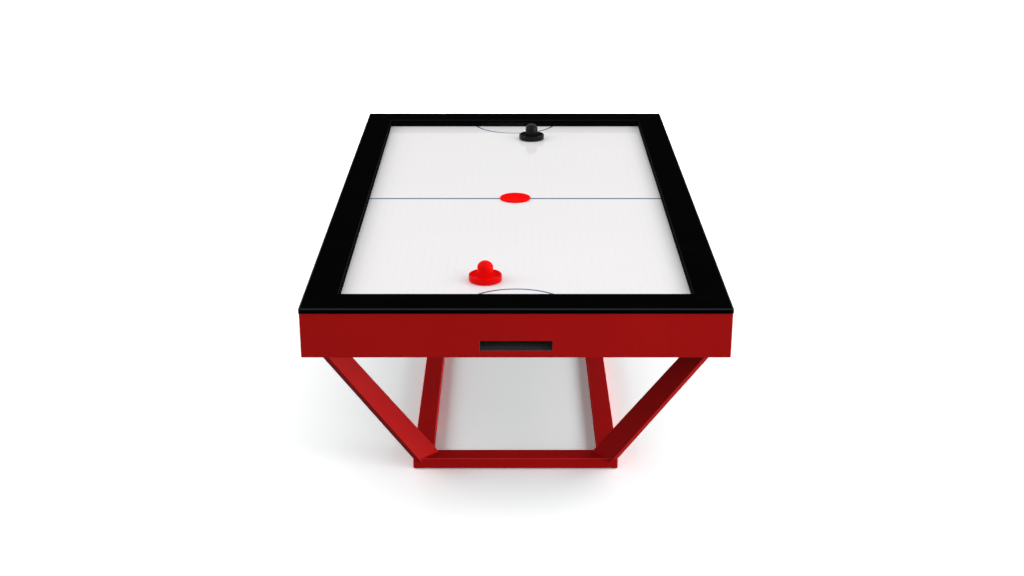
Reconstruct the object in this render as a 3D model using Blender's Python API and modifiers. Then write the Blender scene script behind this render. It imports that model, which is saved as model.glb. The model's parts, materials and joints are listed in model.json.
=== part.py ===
"""Full-size air hockey table: an air-blown playfield in a shallow cabinet on a splayed steel base.

Run with: blender --background --python part.py
Units are metres and +Z is up. The origin is on the floor under the middle of the table. The length runs
along Y, with the near end facing -Y. Ends are called near and far, and sides left (-X) and right (+X).
"""

from math import atan2, cos, hypot, pi, radians, sin

import bmesh
import bpy
from mathutils import Matrix, Vector

GAP = 0.0003  # left between pieces that touch

# Rail cap: the flat black frame on top
LENGTH = 2.540
WIDTH = 1.400
RAIL_TOP = 0.813
CAP_THICK = 0.018
SIDE_RAIL = 0.115
END_RAIL = 0.134
CAP_CORNER = 0.007
CAP_ROUND = 0.006
CAP_SMALL_ROUND = 0.0015
CAP_BOTTOM = RAIL_TOP - CAP_THICK
INNER_X = WIDTH / 2 - SIDE_RAIL
INNER_Y = LENGTH / 2 - END_RAIL

# Cabinet: the red box under the cap
OVERHANG = 0.002
APRON_THICK = 0.020
APRON_LOW = 0.641
APRON_CORNER = 0.004
APRON_ROUND = 0.0025
APRON_X = WIDTH / 2 - OVERHANG
APRON_Y = LENGTH / 2 - OVERHANG
INSIDE_X = APRON_X - APRON_THICK - GAP
INSIDE_Y = APRON_Y - APRON_THICK - GAP
PANEL_THICK = 0.008
PANEL_TOP = APRON_LOW + PANEL_THICK

# Playfield and the air box under it
FIELD_TOP = 0.782
FIELD_THICK = 0.012
FIELD_LOW = FIELD_TOP - FIELD_THICK
PLENUM_X = 0.625
PLENUM_Y = 1.070
PLENUM_FLOOR_TOP = 0.735
PLENUM_FLOOR_THICK = 0.006
PLENUM_FLOOR_LOW = PLENUM_FLOOR_TOP - PLENUM_FLOOR_THICK
BATTEN = 0.025
RIB_THICK = 0.020
RIB_Y = 0.400
RIB_NOTCHES = 5
NOTCH_WIDTH = 0.090
NOTCH_HEIGHT = 0.018

# Goal mouths, chutes and puck-return slots
GOAL_HALF = 0.155
GOAL_TOP = 0.803
SLOT_HALF = 0.118
SLOT_LOW = 0.666
SLOT_HIGH = 0.700
CHUTE_WALL = 0.003
CHUTE_LOW = 0.6615
CHUTE_FLOOR = 0.6655
CHUTE_BACK = 1.085
CHUTE_NECK = 0.725

# Base ring on the floor
FOOT_HEIGHT = 0.003
RING_X = 0.3766
RING_Y = 0.829
TUBE_WIDE = 0.072
TUBE_TOP = 0.044
TUBE_WALL = 0.003
TUBE_CORNER = 0.003

# Legs: each stands in the upright plane through a ring corner's diagonal
LEG_THICK = 0.0452
LEG_INNER_FOOT = 0.7449
LEG_INNER_LEAN = 0.771
LEG_OUTER_FOOT = 0.8450
LEG_OUTER_LEAN = 0.737
LEG_TIP = 0.012
LEG_ROUND = 0.003
LEG_WALL = 0.003
PLATE_THICK = 0.004
PLATE_TOP = APRON_LOW - GAP
PLATE_LOW = PLATE_TOP - PLATE_THICK
PLATE_X = (0.575, 0.694)
PLATE_Y = (1.030, 1.180)
PLATE_HOLE = 0.0045
PLATE_HOLE_INSET = 0.014
BLOCK_X = (0.578, INSIDE_X)
BLOCK_Y = (1.030, 1.200)

# Levelling feet
LEVELLER_X = 0.250
LEVELLER_PAD = 0.022
LEVELLER_STEM = 0.004
LEVELLER_TOP = 0.030
LEVELLER_EDGE = 0.0008
LEVELLER_CLEARANCE = 0.0005

# Blower under the plenum floor, at the middle of the table
BLOWER_STEPS = 48
HOUSING_RADIUS = 0.0875
HOUSING_FLANGE = 0.105
HOUSING_LOW = 0.6575
HOUSING_WALL = 0.0025
INTAKE_RADIUS = 0.052
INTAKE_LIP = 0.670
MOTOR_RADIUS = 0.030
MOTOR_SHOULDER = 0.003
MOTOR_BORE_CLEARANCE = 0.0005
MOTOR_LOW = 0.693
MOTOR_TOP = 0.7225
SHAFT_RADIUS = 0.004
SHAFT_LOW = 0.668
SHAFT_TOP = 0.7205
BRACKET_HUB = 0.026
BRACKET_ARM = 0.014
BRACKET_ARMS = 3
BRACKET_THICK = 0.0025
IMPELLER_RADIUS = 0.078
IMPELLER_LOW = 0.6725
IMPELLER_HUB = 0.012
IMPELLER_BLADES = 9
BLADE_THICK = 0.0025
BACKPLATE_LOW = 0.6885
BACKPLATE_THICK = 0.002
GRILLE_RADIUS = 0.075
GRILLE_THICK = 0.0027
GRILLE_SLOT = 0.006
GRILLE_PITCH = 0.012
GRILLE_FIELD = 0.064
PANEL_INTAKE = 0.062

# Switch and power inlet, side by side on the underside near the far left corner
FLANGE_THICK = 0.0025
SWITCH_AT = (-0.430, 1.000)
SWITCH_FLANGE = (0.024, 0.034)
SWITCH_BODY = (0.020, 0.029)
SWITCH_CAVITY = (0.0150, 0.0248)
SWITCH_TOP = 0.668
SWITCH_CAVITY_TOP = 0.657
ROCKER_SIZE = (0.0142, 0.0220)
ROCKER_TILT = radians(8)
ROCKER_PIVOT = 0.6440
ROCKER_DIP = 0.0040
ROCKER_FALL = 0.0058
ROCKER_BACK = 0.0045
ROCKER_TAPER = 0.0015
INLET_AT = (-0.350, 1.000)
INLET_FLANGE = (0.050, 0.026)
INLET_BODY = (0.0280, 0.0205)
INLET_CAVITY = (0.0245, 0.0170)
INLET_TOP = 0.668
INLET_CAVITY_TOP = 0.6570
PIN_SIZE = (0.002, 0.004)
PIN_LOW = 0.6440
PINS = ((-0.007, -0.0015), (0.007, -0.0015), (0.0, 0.0025))

# Puck and mallets
PUCK_RADIUS = 0.061
PUCK_THICK = 0.006
PUCK_RIM = 0.0016
MALLET_RADIUS = 0.057
MALLET_LIP = 0.021
MALLET_LIP_THICK = 0.0055
MALLET_FILLET = 0.004
MALLET_BASE_ROUND = 0.002
MALLET_TROUGH = 0.008
MALLET_KNOB = 0.0275
MALLET_HEIGHT = 0.069
FELT_THICK = 0.0015
FELT_RADIUS = 0.050
NEAR_MALLET_AT = (-0.1045, -0.929)
FAR_MALLET_AT = (0.077, 0.911)
PLAY_STEPS = 48
PAST = 0.01  # how far a cutter runs out past what it cuts

ENDS = {"near": -1, "far": 1}
SIDES = {"left": -1, "right": 1}
FRAME_TURNS = {"far": 0.0, "left": pi / 2, "near": pi, "right": -pi / 2}

# Finish name: base colour (linear), roughness, metallic
FINISHES = {
    "red_lacquer": ((0.283, 0.006, 0.006), 0.35, 0.0),
    "red_powder_coat": ((0.258, 0.005, 0.006), 0.38, 0.0),
    "black_lacquer": ((0.004, 0.004, 0.005), 0.28, 0.0),
    "white_laminate": ((0.871, 0.855, 0.863), 0.20, 0.0),
    "bare_board": ((0.42, 0.29, 0.18), 0.70, 0.0),
    "black_plastic": ((0.010, 0.010, 0.011), 0.45, 0.0),
    "grey_plastic": ((0.10, 0.10, 0.11), 0.50, 0.0),
    "zinc_steel": ((0.52, 0.53, 0.55), 0.35, 1.0),
    "red_plastic": ((1.0, 0.004, 0.003), 0.30, 0.0),
    "black_gloss": ((0.008, 0.008, 0.010), 0.30, 0.0),
    "felt": ((0.55, 0.55, 0.53), 0.95, 0.0),
}


# ---------------------------------------------------------------- scene and helpers


def clear_scene():
    for item in list(bpy.data.objects):
        bpy.data.objects.remove(item, do_unlink=True)


def new_collection(name):
    collection = bpy.data.collections.new(name)
    bpy.context.scene.collection.children.link(collection)
    return collection


def finish_material(name, finish):
    """A piece's own material, from its finish's colour, roughness and metallic value."""
    colour, roughness, metallic = FINISHES[finish]
    material = bpy.data.materials.new(name)
    material.use_nodes = True
    shader = material.node_tree.nodes["Principled BSDF"]
    shader.inputs["Base Color"].default_value = (*colour, 1.0)
    shader.inputs["Roughness"].default_value = roughness
    shader.inputs["Metallic"].default_value = metallic
    material.diffuse_color = (*colour, 1.0)
    return material


def add_part(name, finish, mesh, location=(0, 0, 0), rotation=(0, 0, 0)):
    mesh.name = name
    mesh.materials.clear()
    mesh.materials.append(finish_material(name, finish))
    part = bpy.data.objects.new(name, mesh)
    part.location = location
    part.rotation_euler = rotation
    PARTS.objects.link(part)
    return part


def add_cutter(name, mesh, location=(0, 0, 0), rotation=(0, 0, 0)):
    cutter = bpy.data.objects.new(name, mesh)
    cutter.location = location
    cutter.rotation_euler = rotation
    cutter.display_type = "WIRE"
    cutter.hide_render = True
    CUTTERS.objects.link(cutter)
    return cutter


def combine(part, tool, operation="DIFFERENCE"):
    modifier = part.modifiers.new(tool.name, "BOOLEAN")
    modifier.operation = operation
    modifier.solver = "EXACT"
    modifier.object = tool


def box_mesh(size):
    """A box centred on its own origin."""
    solid = bmesh.new()
    bmesh.ops.create_cube(solid, size=1.0, matrix=Matrix.Diagonal((*size, 1.0)))
    mesh = bpy.data.meshes.new("box")
    solid.to_mesh(mesh)
    solid.free()
    return mesh


def middle_and_size(low, high):
    low, high = Vector(low), Vector(high)
    return (low + high) / 2, high - low


def box(name, finish, low, high):
    centre, size = middle_and_size(low, high)
    return add_part(name, finish, box_mesh(size), centre)


def box_cutter(name, low, high):
    centre, size = middle_and_size(low, high)
    return add_cutter(name, box_mesh(size), centre)


def cylinder_mesh(radius, height, segments=32):
    solid = bmesh.new()
    bmesh.ops.create_cone(
        solid, cap_ends=True, segments=segments, radius1=radius, radius2=radius, depth=height
    )
    mesh = bpy.data.meshes.new("cylinder")
    solid.to_mesh(mesh)
    solid.free()
    return mesh


def prism_mesh(outlines, thickness):
    """Flat outlines in XY, the later ones holes in the first, given a thickness centred on Z."""
    curve = bpy.data.curves.new("outline", "CURVE")
    curve.dimensions = "2D"
    curve.fill_mode = "BOTH"
    curve.extrude = thickness / 2
    for outline in outlines:
        spline = curve.splines.new("POLY")
        spline.points.add(len(outline) - 1)
        for point, (x, y) in zip(spline.points, outline):
            point.co = (x, y, 0.0, 1.0)
        spline.use_cyclic_u = True
    shape = bpy.data.objects.new("outline", curve)
    bpy.context.scene.collection.objects.link(shape)
    bpy.context.view_layer.update()
    evaluated = shape.evaluated_get(bpy.context.evaluated_depsgraph_get())
    mesh = bpy.data.meshes.new_from_object(evaluated)
    bpy.data.objects.remove(shape, do_unlink=True)
    bpy.data.curves.remove(curve)
    solid = bmesh.new()
    solid.from_mesh(mesh)
    bmesh.ops.remove_doubles(solid, verts=solid.verts, dist=1e-6)
    bmesh.ops.dissolve_limit(
        solid, angle_limit=radians(0.5), verts=solid.verts, edges=solid.edges
    )
    bmesh.ops.recalc_face_normals(solid, faces=solid.faces)
    solid.to_mesh(mesh)
    solid.free()
    return mesh


def round_edges(mesh, chosen, radius, segments):
    """Rounds the edges whose two ends, as vectors, satisfy chosen."""
    solid = bmesh.new()
    solid.from_mesh(mesh)
    edges = [edge for edge in solid.edges if chosen(edge.verts[0].co, edge.verts[1].co)]
    bmesh.ops.bevel(
        solid, geom=edges, offset=radius, segments=segments, profile=0.5, affect="EDGES"
    )
    solid.to_mesh(mesh)
    solid.free()


def arc(centre, radius, start, end, steps):
    """Points on an arc, with angles in degrees."""
    angles = [radians(start + (end - start) * step / steps) for step in range(steps + 1)]
    return [(centre[0] + radius * cos(a), centre[1] + radius * sin(a)) for a in angles]


def turned(name, finish, profile, steps, location=(0, 0, 0), ring=False):
    """Turns (radius, height) points, listed down the outer side, about the part's own Z axis."""
    count = len(profile)
    edges = [(i, i + 1) for i in range(count - 1)]
    if ring:
        edges.append((count - 1, 0))
    mesh = bpy.data.meshes.new(name)
    mesh.from_pydata([(radius, 0.0, height) for radius, height in profile], edges, [])
    part = add_part(name, finish, mesh, location)
    screw = part.modifiers.new("turn", "SCREW")
    screw.steps = steps
    screw.render_steps = steps
    screw.use_merge_vertices = True
    screw.merge_threshold = 1e-5
    screw.use_smooth_shade = True
    return part


def mitred_outline(half_length, reach, depth, end_depth, radius):
    """One side of a mitred frame from above: it runs along X and its outer face is at Y = reach."""
    shorten = 0.75 * GAP
    corner = (half_length - radius - shorten, reach - radius)
    right = [(half_length - end_depth - shorten, reach - depth)]
    right += arc(corner, radius, 45, 90, 3)
    left = [(-x, y) for x, y in reversed(right)]
    return right + left


def frame_edge(edge, inner, half_height):
    """A test for one long edge of a frame side: edge is top_out, top_in, low_out or low_in."""
    height = half_height if edge.startswith("top") else -half_height

    def chosen(a, b):
        if max(abs(a.z - height), abs(b.z - height)) > 1e-5:
            return False
        if edge.endswith("out"):
            return min(a.y, b.y) > inner + 1e-4
        return max(a.y, b.y) < inner + 1e-5

    return chosen


def frame_side(name, finish, side, outer, depths, radius, low, high, rounds):
    """A side of a mitred frame whose outer half sizes and board depths are given along X and Y.

    rounds lists (which edge, radius, segments), the edges named as in frame_edge.
    """
    across = side in ENDS
    half_length, reach = outer if across else outer[::-1]
    end_depth, depth = depths if across else depths[::-1]
    outline = mitred_outline(half_length, reach, depth, end_depth, radius)
    mesh = prism_mesh([outline], high - low)
    for edge, edge_radius, segments in rounds:
        chosen = frame_edge(edge, reach - depth, (high - low) / 2)
        round_edges(mesh, chosen, edge_radius, segments)
    turn = (0, 0, FRAME_TURNS[side])
    return add_part(name, finish, mesh, (0, 0, (low + high) / 2), turn)


# ---------------------------------------------------------------- cabinet


def build_aprons():
    for side in FRAME_TURNS:
        apron = frame_side(
            f"apron_{side}",
            "red_lacquer",
            side,
            (APRON_X, APRON_Y),
            (APRON_THICK, APRON_THICK),
            APRON_CORNER,
            APRON_LOW,
            CAP_BOTTOM - GAP,
            [("low_out", APRON_ROUND, 2)],
        )
        if side in ENDS:
            reach = (APRON_Y - APRON_THICK - PAST, APRON_Y + PAST)
            y_from, y_to = sorted(ENDS[side] * y for y in reach)
            slot = box_cutter(
                f"return_slot_{side}", (-SLOT_HALF, y_from, SLOT_LOW), (SLOT_HALF, y_to, SLOT_HIGH)
            )
            combine(apron, slot)


def build_bottom_panel():
    panel = box(
        "bottom_panel",
        "black_lacquer",
        (-INSIDE_X, -INSIDE_Y, APRON_LOW),
        (INSIDE_X, INSIDE_Y, PANEL_TOP),
    )
    intake = add_cutter(
        "panel_intake", cylinder_mesh(PANEL_INTAKE, 4 * PAST), (0, 0, APRON_LOW)
    )
    combine(panel, intake)
    for name, (x, y), (wide, long) in (
        ("panel_switch_hole", SWITCH_AT, SWITCH_BODY),
        ("panel_inlet_hole", INLET_AT, INLET_BODY),
    ):
        half_wide, half_long = wide / 2 + GAP, long / 2 + GAP
        hole = box_cutter(
            name,
            (x - half_wide, y - half_long, APRON_LOW - PAST),
            (x + half_wide, y + half_long, PANEL_TOP + PAST),
        )
        combine(panel, hole)


def build_corner_blocks():
    for end, toward in ENDS.items():
        for side, across in SIDES.items():
            x_from, x_to = sorted(across * x for x in BLOCK_X)
            y_from, y_to = sorted(toward * y for y in BLOCK_Y)
            box(
                f"corner_block_{end}_{side}",
                "bare_board",
                (x_from, y_from, PANEL_TOP + GAP),
                (x_to, y_to, PLENUM_FLOOR_LOW - GAP),
            )


# ---------------------------------------------------------------- playfield and plenum


def build_playfield():
    field = box(
        "playfield",
        "white_laminate",
        (-INSIDE_X, -INSIDE_Y, FIELD_LOW),
        (INSIDE_X, INSIDE_Y, FIELD_TOP),
    )
    half = GOAL_HALF + CHUTE_WALL
    for end, toward in ENDS.items():
        y_from, y_to = sorted((toward * (INNER_Y - GAP), toward * LENGTH / 2))
        notch = box_cutter(
            f"goal_notch_{end}", (-half, y_from, FIELD_LOW - PAST), (half, y_to, FIELD_TOP + PAST)
        )
        combine(field, notch)


def rib_outline():
    """A cross rib seen along Y, with air notches along its lower edge."""
    half = PLENUM_X - BATTEN - GAP
    height = FIELD_LOW - PLENUM_FLOOR_TOP - 2 * GAP
    pitch = 2 * half / RIB_NOTCHES
    points = [(half, 0), (half, height), (-half, height), (-half, 0)]
    for notch in range(RIB_NOTCHES):
        middle = -half + pitch * (notch + 0.5)
        left, right = middle - NOTCH_WIDTH / 2, middle + NOTCH_WIDTH / 2
        points += [(left, 0), (left, NOTCH_HEIGHT), (right, NOTCH_HEIGHT), (right, 0)]
    return points


def build_plenum():
    floor = box(
        "plenum_floor",
        "bare_board",
        (-PLENUM_X, -PLENUM_Y, PLENUM_FLOOR_LOW),
        (PLENUM_X, PLENUM_Y, PLENUM_FLOOR_TOP),
    )
    air_hole = add_cutter(
        "plenum_air_hole",
        cylinder_mesh(HOUSING_RADIUS - HOUSING_WALL, 3 * PAST),
        (0, 0, PLENUM_FLOOR_LOW),
    )
    combine(floor, air_hole)
    low, high = PLENUM_FLOOR_TOP + GAP, FIELD_LOW - GAP
    for side, across in SIDES.items():
        x_from, x_to = sorted((across * PLENUM_X, across * (PLENUM_X - BATTEN)))
        box(f"plenum_batten_{side}", "bare_board", (x_from, -PLENUM_Y, low), (x_to, PLENUM_Y, high))
    half = PLENUM_X - BATTEN - GAP
    for end, toward in ENDS.items():
        y_from, y_to = sorted((toward * PLENUM_Y, toward * (PLENUM_Y - BATTEN)))
        box(f"plenum_batten_{end}", "bare_board", (-half, y_from, low), (half, y_to, high))
        rib_place = (0, toward * RIB_Y, low)
        mesh = prism_mesh([rib_outline()], RIB_THICK)
        add_part(f"plenum_rib_{end}", "bare_board", mesh, rib_place, (pi / 2, 0, 0))


# ---------------------------------------------------------------- rails


def build_rail_caps():
    for side in FRAME_TURNS:
        cap = frame_side(
            f"rail_cap_{side}",
            "black_lacquer",
            side,
            (WIDTH / 2, LENGTH / 2),
            (SIDE_RAIL, END_RAIL),
            CAP_CORNER,
            CAP_BOTTOM,
            RAIL_TOP,
            [
                ("top_out", CAP_ROUND, 4),
                ("top_in", CAP_SMALL_ROUND, 2),
                ("low_out", CAP_SMALL_ROUND, 2),
            ],
        )
        if side in ENDS:
            toward = ENDS[side]
            y_from, y_to = sorted((toward * (INNER_Y - PAST), toward * INSIDE_Y))
            rebate = box_cutter(
                f"goal_rebate_{side}",
                (-GOAL_HALF, y_from, CAP_BOTTOM - PAST),
                (GOAL_HALF, y_to, GOAL_TOP),
            )
            combine(cap, rebate)


def build_rail_cores():
    low, high = FIELD_TOP + GAP, CAP_BOTTOM - GAP
    for side, across in SIDES.items():
        x_from, x_to = sorted((across * INNER_X, across * INSIDE_X))
        box(
            f"rail_core_{side}", "black_lacquer", (x_from, -INSIDE_Y, low), (x_to, INSIDE_Y, high)
        )
        for end, toward in ENDS.items():
            x_from, x_to = sorted((across * GOAL_HALF, across * (INNER_X - GAP)))
            y_from, y_to = sorted((toward * INNER_Y, toward * INSIDE_Y))
            box(
                f"rail_core_{end}_{side}", "black_lacquer", (x_from, y_from, low), (x_to, y_to, high)
            )


def build_goal_chutes():
    """Each chute takes the puck behind the goal line and lets it out at the return slot."""
    half = GOAL_HALF + CHUTE_WALL - GAP
    inside = half - CHUTE_WALL
    side_outline = [
        (CHUTE_BACK, CHUTE_LOW),
        (INSIDE_Y, CHUTE_LOW),
        (INSIDE_Y, FIELD_TOP - GAP),
        (INNER_Y, FIELD_TOP - GAP),
        (INNER_Y, FIELD_LOW - GAP),
        (CHUTE_BACK, FIELD_LOW - GAP),
    ]
    hollow_outline = [
        (-SLOT_HALF, CHUTE_FLOOR),
        (SLOT_HALF, CHUTE_FLOOR),
        (SLOT_HALF, SLOT_HIGH),
        (inside, CHUTE_NECK),
        (inside, RAIL_TOP),
        (-inside, RAIL_TOP),
        (-inside, CHUTE_NECK),
        (-SLOT_HALF, SLOT_HIGH),
    ]
    hollow_from, hollow_to = CHUTE_BACK + CHUTE_WALL, LENGTH / 2
    for end, toward in ENDS.items():
        chute = add_part(
            f"goal_chute_{end}",
            "black_plastic",
            prism_mesh([side_outline], 2 * half),
            rotation=(pi / 2, 0, toward * pi / 2),
        )
        hollow = add_cutter(
            f"chute_hollow_{end}",
            prism_mesh([hollow_outline], hollow_to - hollow_from),
            (0, toward * (hollow_from + hollow_to) / 2, 0),
            (pi / 2, 0, 0),
        )
        combine(chute, hollow)


# ---------------------------------------------------------------- blower


def build_blower_housing():
    top = PLENUM_FLOOR_LOW - GAP
    wall = HOUSING_WALL
    profile = [
        (HOUSING_FLANGE, top),
        (HOUSING_FLANGE, top - wall),
        (HOUSING_RADIUS, top - wall),
        (HOUSING_RADIUS, HOUSING_LOW),
        (INTAKE_RADIUS, HOUSING_LOW),
        (INTAKE_RADIUS, INTAKE_LIP),
        (INTAKE_RADIUS + wall, INTAKE_LIP),
        (INTAKE_RADIUS + wall, HOUSING_LOW + wall),
        (HOUSING_RADIUS - wall, HOUSING_LOW + wall),
        (HOUSING_RADIUS - wall, top),
    ]
    turned("blower_housing", "black_plastic", profile, BLOWER_STEPS, ring=True)


def build_blower_motor():
    bore = SHAFT_RADIUS + MOTOR_BORE_CLEARANCE
    shoulder = MOTOR_SHOULDER
    profile = [
        (MOTOR_RADIUS - shoulder, MOTOR_TOP),
        (MOTOR_RADIUS, MOTOR_TOP - shoulder),
        (MOTOR_RADIUS, MOTOR_LOW + shoulder),
        (MOTOR_RADIUS - shoulder, MOTOR_LOW),
        (bore, MOTOR_LOW),
        (bore, MOTOR_TOP),
    ]
    turned("blower_motor", "zinc_steel", profile, 32, ring=True)
    shaft = cylinder_mesh(SHAFT_RADIUS, SHAFT_TOP - SHAFT_LOW, 16)
    add_part("motor_shaft", "zinc_steel", shaft, (0, 0, (SHAFT_TOP + SHAFT_LOW) / 2))


def star_outline(hub, reach, arms, arm_width):
    """A round hub with straight arms, as one outline."""
    half_angle = atan2(arm_width / 2, hub)
    points = []
    for arm in range(arms):
        middle = 2 * pi * arm / arms
        along, aside = Vector((cos(middle), sin(middle))), Vector((-sin(middle), cos(middle)))
        tip = along * reach
        points += [tuple(tip - aside * arm_width / 2), tuple(tip + aside * arm_width / 2)]
        start = middle + half_angle
        end = middle + 2 * pi / arms - half_angle
        root = hypot(hub, arm_width / 2)
        for step in range(4):
            angle = start + (end - start) * step / 3
            points.append((root * cos(angle), root * sin(angle)))
    return points


def build_motor_bracket():
    reach = HOUSING_RADIUS - HOUSING_WALL - 2 * GAP
    outline = star_outline(BRACKET_HUB, reach, BRACKET_ARMS, BRACKET_ARM)
    height = MOTOR_TOP + GAP + BRACKET_THICK / 2
    add_part("motor_bracket", "zinc_steel", prism_mesh([outline], BRACKET_THICK), (0, 0, height))


def build_impeller():
    """A flat backplate with straight radial blades under it and a hub bored for the shaft."""
    overlap = 0.0005
    blades_top = BACKPLATE_LOW + overlap
    outline = star_outline(IMPELLER_HUB, IMPELLER_RADIUS - 0.002, IMPELLER_BLADES, BLADE_THICK)
    blades = prism_mesh([outline], blades_top - IMPELLER_LOW)
    impeller = add_part(
        "impeller", "grey_plastic", blades, (0, 0, (IMPELLER_LOW + blades_top) / 2)
    )
    backplate = add_cutter(
        "impeller_backplate",
        cylinder_mesh(IMPELLER_RADIUS, BACKPLATE_THICK, BLOWER_STEPS),
        (0, 0, BACKPLATE_LOW + BACKPLATE_THICK / 2),
    )
    combine(impeller, backplate, "UNION")
    bore = add_cutter(
        "impeller_bore",
        cylinder_mesh(SHAFT_RADIUS + GAP, 6 * PAST, 16),
        (0, 0, BACKPLATE_LOW),
    )
    combine(impeller, bore)


def build_intake_grille():
    """A round plate with straight slots, screwed under the bottom panel."""
    outlines = [arc((0, 0), GRILLE_RADIUS, 0, 352.5, 47)]
    rows = int(GRILLE_FIELD / GRILLE_PITCH)
    for row in range(-rows, rows + 1):
        y = row * GRILLE_PITCH
        low, high = y - GRILLE_SLOT / 2, y + GRILLE_SLOT / 2
        furthest = max(abs(low), abs(high))
        half = (GRILLE_FIELD**2 - furthest**2) ** 0.5
        if half < GRILLE_SLOT:
            continue
        outlines.append([(-half, low), (half, low), (half, high), (-half, high)])
    height = APRON_LOW - GAP - GRILLE_THICK / 2
    mesh = prism_mesh(outlines, GRILLE_THICK)
    add_part("intake_grille", "black_plastic", mesh, (0, 0, height))


# ---------------------------------------------------------------- switch and inlet


def flanged_socket(name, at, flange, body, cavity, top, cavity_top):
    """A square socket that fits up through the bottom panel, with its flange under the panel."""
    x, y = at
    flange_top = APRON_LOW - GAP
    flange_low = flange_top - FLANGE_THICK
    socket = box(
        name,
        "black_plastic",
        (x - body[0] / 2, y - body[1] / 2, flange_low),
        (x + body[0] / 2, y + body[1] / 2, top),
    )
    rim = box_cutter(
        f"{name}_flange",
        (x - flange[0] / 2, y - flange[1] / 2, flange_low),
        (x + flange[0] / 2, y + flange[1] / 2, flange_top),
    )
    combine(socket, rim, "UNION")
    hollow = box_cutter(
        f"{name}_hollow",
        (x - cavity[0] / 2, y - cavity[1] / 2, flange_low - PAST),
        (x + cavity[0] / 2, y + cavity[1] / 2, cavity_top),
    )
    combine(socket, hollow)
    return socket


def build_switch():
    flanged_socket(
        "switch_bezel",
        SWITCH_AT,
        SWITCH_FLANGE,
        SWITCH_BODY,
        SWITCH_CAVITY,
        SWITCH_TOP,
        SWITCH_CAVITY_TOP,
    )
    half = ROCKER_SIZE[1] / 2
    outline = [
        (-half, -ROCKER_FALL),
        (0.0, -ROCKER_DIP),
        (half, -ROCKER_FALL),
        (half - ROCKER_TAPER, ROCKER_BACK),
        (ROCKER_TAPER - half, ROCKER_BACK),
    ]
    rocker = prism_mesh([outline], ROCKER_SIZE[0])
    place = (*SWITCH_AT, ROCKER_PIVOT)
    turn = Matrix.Rotation(-ROCKER_TILT, 3, "X") @ Matrix.Rotation(pi / 2, 3, "Z")
    turn = turn @ Matrix.Rotation(pi / 2, 3, "X")
    add_part("power_rocker", "black_gloss", rocker, place, turn.to_euler())


def build_inlet():
    inlet = flanged_socket(
        "power_inlet",
        INLET_AT,
        INLET_FLANGE,
        INLET_BODY,
        INLET_CAVITY,
        INLET_TOP,
        INLET_CAVITY_TOP,
    )
    for number, (dx, dy) in enumerate(PINS, 1):
        x, y = INLET_AT[0] + dx, INLET_AT[1] + dy
        pin = box_cutter(
            f"inlet_pin_{number}",
            (x - PIN_SIZE[0] / 2, y - PIN_SIZE[1] / 2, PIN_LOW),
            (x + PIN_SIZE[0] / 2, y + PIN_SIZE[1] / 2, INLET_TOP - 0.002),
        )
        combine(inlet, pin, "UNION")


# ---------------------------------------------------------------- base


def build_ring():
    """Four mitred rectangular tubes, open at their mitres, with a hole for each levelling foot."""
    for side in FRAME_TURNS:
        edges = [(edge, TUBE_CORNER, 2) for edge in ("top_out", "top_in", "low_out", "low_in")]
        tube = frame_side(
            f"base_tube_{side}",
            "red_powder_coat",
            side,
            (RING_X, RING_Y),
            (TUBE_WIDE, TUBE_WIDE),
            TUBE_CORNER + 0.001,
            FOOT_HEIGHT,
            TUBE_TOP,
            edges,
        )
        bore = (TUBE_WIDE - 2 * TUBE_WALL, TUBE_TOP - FOOT_HEIGHT - 2 * TUBE_WALL)
        middle_z = (FOOT_HEIGHT + TUBE_TOP) / 2
        if side in ENDS:
            y = ENDS[side] * (RING_Y - TUBE_WIDE / 2)
            hollow = add_cutter(
                f"tube_bore_{side}", box_mesh((3 * RING_X, *bore)), (0, y, middle_z)
            )
            combine(tube, hollow)
            for across in SIDES.values():
                place = (across * LEVELLER_X, y, FOOT_HEIGHT)
                drill = cylinder_mesh(LEVELLER_STEM + LEVELLER_CLEARANCE, 2 * PAST, 16)
                hole = add_cutter(f"leveller_hole_{side}", drill, place)
                combine(tube, hole)
        else:
            x = SIDES[side] * (RING_X - TUBE_WIDE / 2)
            size = (bore[0], 3 * RING_Y, bore[1])
            hollow = add_cutter(f"tube_bore_{side}", box_mesh(size), (x, 0, middle_z))
            combine(tube, hollow)


def leg_inner(height):
    """How far out along the diagonal a leg's inner edge is at a height."""
    return LEG_INNER_FOOT + LEG_INNER_LEAN * (height - TUBE_TOP)


def leg_outer(height):
    return LEG_OUTER_FOOT + LEG_OUTER_LEAN * (height - TUBE_TOP)


def leg_mesh(top):
    foot = TUBE_TOP + GAP
    step = (leg_inner(foot) + leg_outer(foot)) / 2
    outline = [
        (leg_inner(foot), foot),
        (step, foot),
        (step, LEG_TIP),
        (leg_outer(LEG_TIP), LEG_TIP),
        (leg_outer(top), top),
        (leg_inner(top), top),
    ]
    mesh = prism_mesh([outline], LEG_THICK)

    def long_edge(a, b):
        return abs(a.y - b.y) > (top - foot) * 0.9 and abs(a.z - b.z) < 1e-6

    round_edges(mesh, long_edge, LEG_ROUND, 3)
    return mesh


def leg_hollow_mesh(top):
    """The tube's bore, which runs out at the top and stops short of the foot."""
    low, high = TUBE_TOP + 2 * LEG_WALL, top + PAST
    inner_wall = LEG_WALL * hypot(1, LEG_INNER_LEAN)
    outer_wall = LEG_WALL * hypot(1, LEG_OUTER_LEAN)
    outline = [
        (leg_inner(low) + inner_wall, low),
        (leg_outer(low) - outer_wall, low),
        (leg_outer(high) - outer_wall, high),
        (leg_inner(high) + inner_wall, high),
    ]
    return prism_mesh([outline], LEG_THICK - 2 * LEG_WALL)


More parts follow.
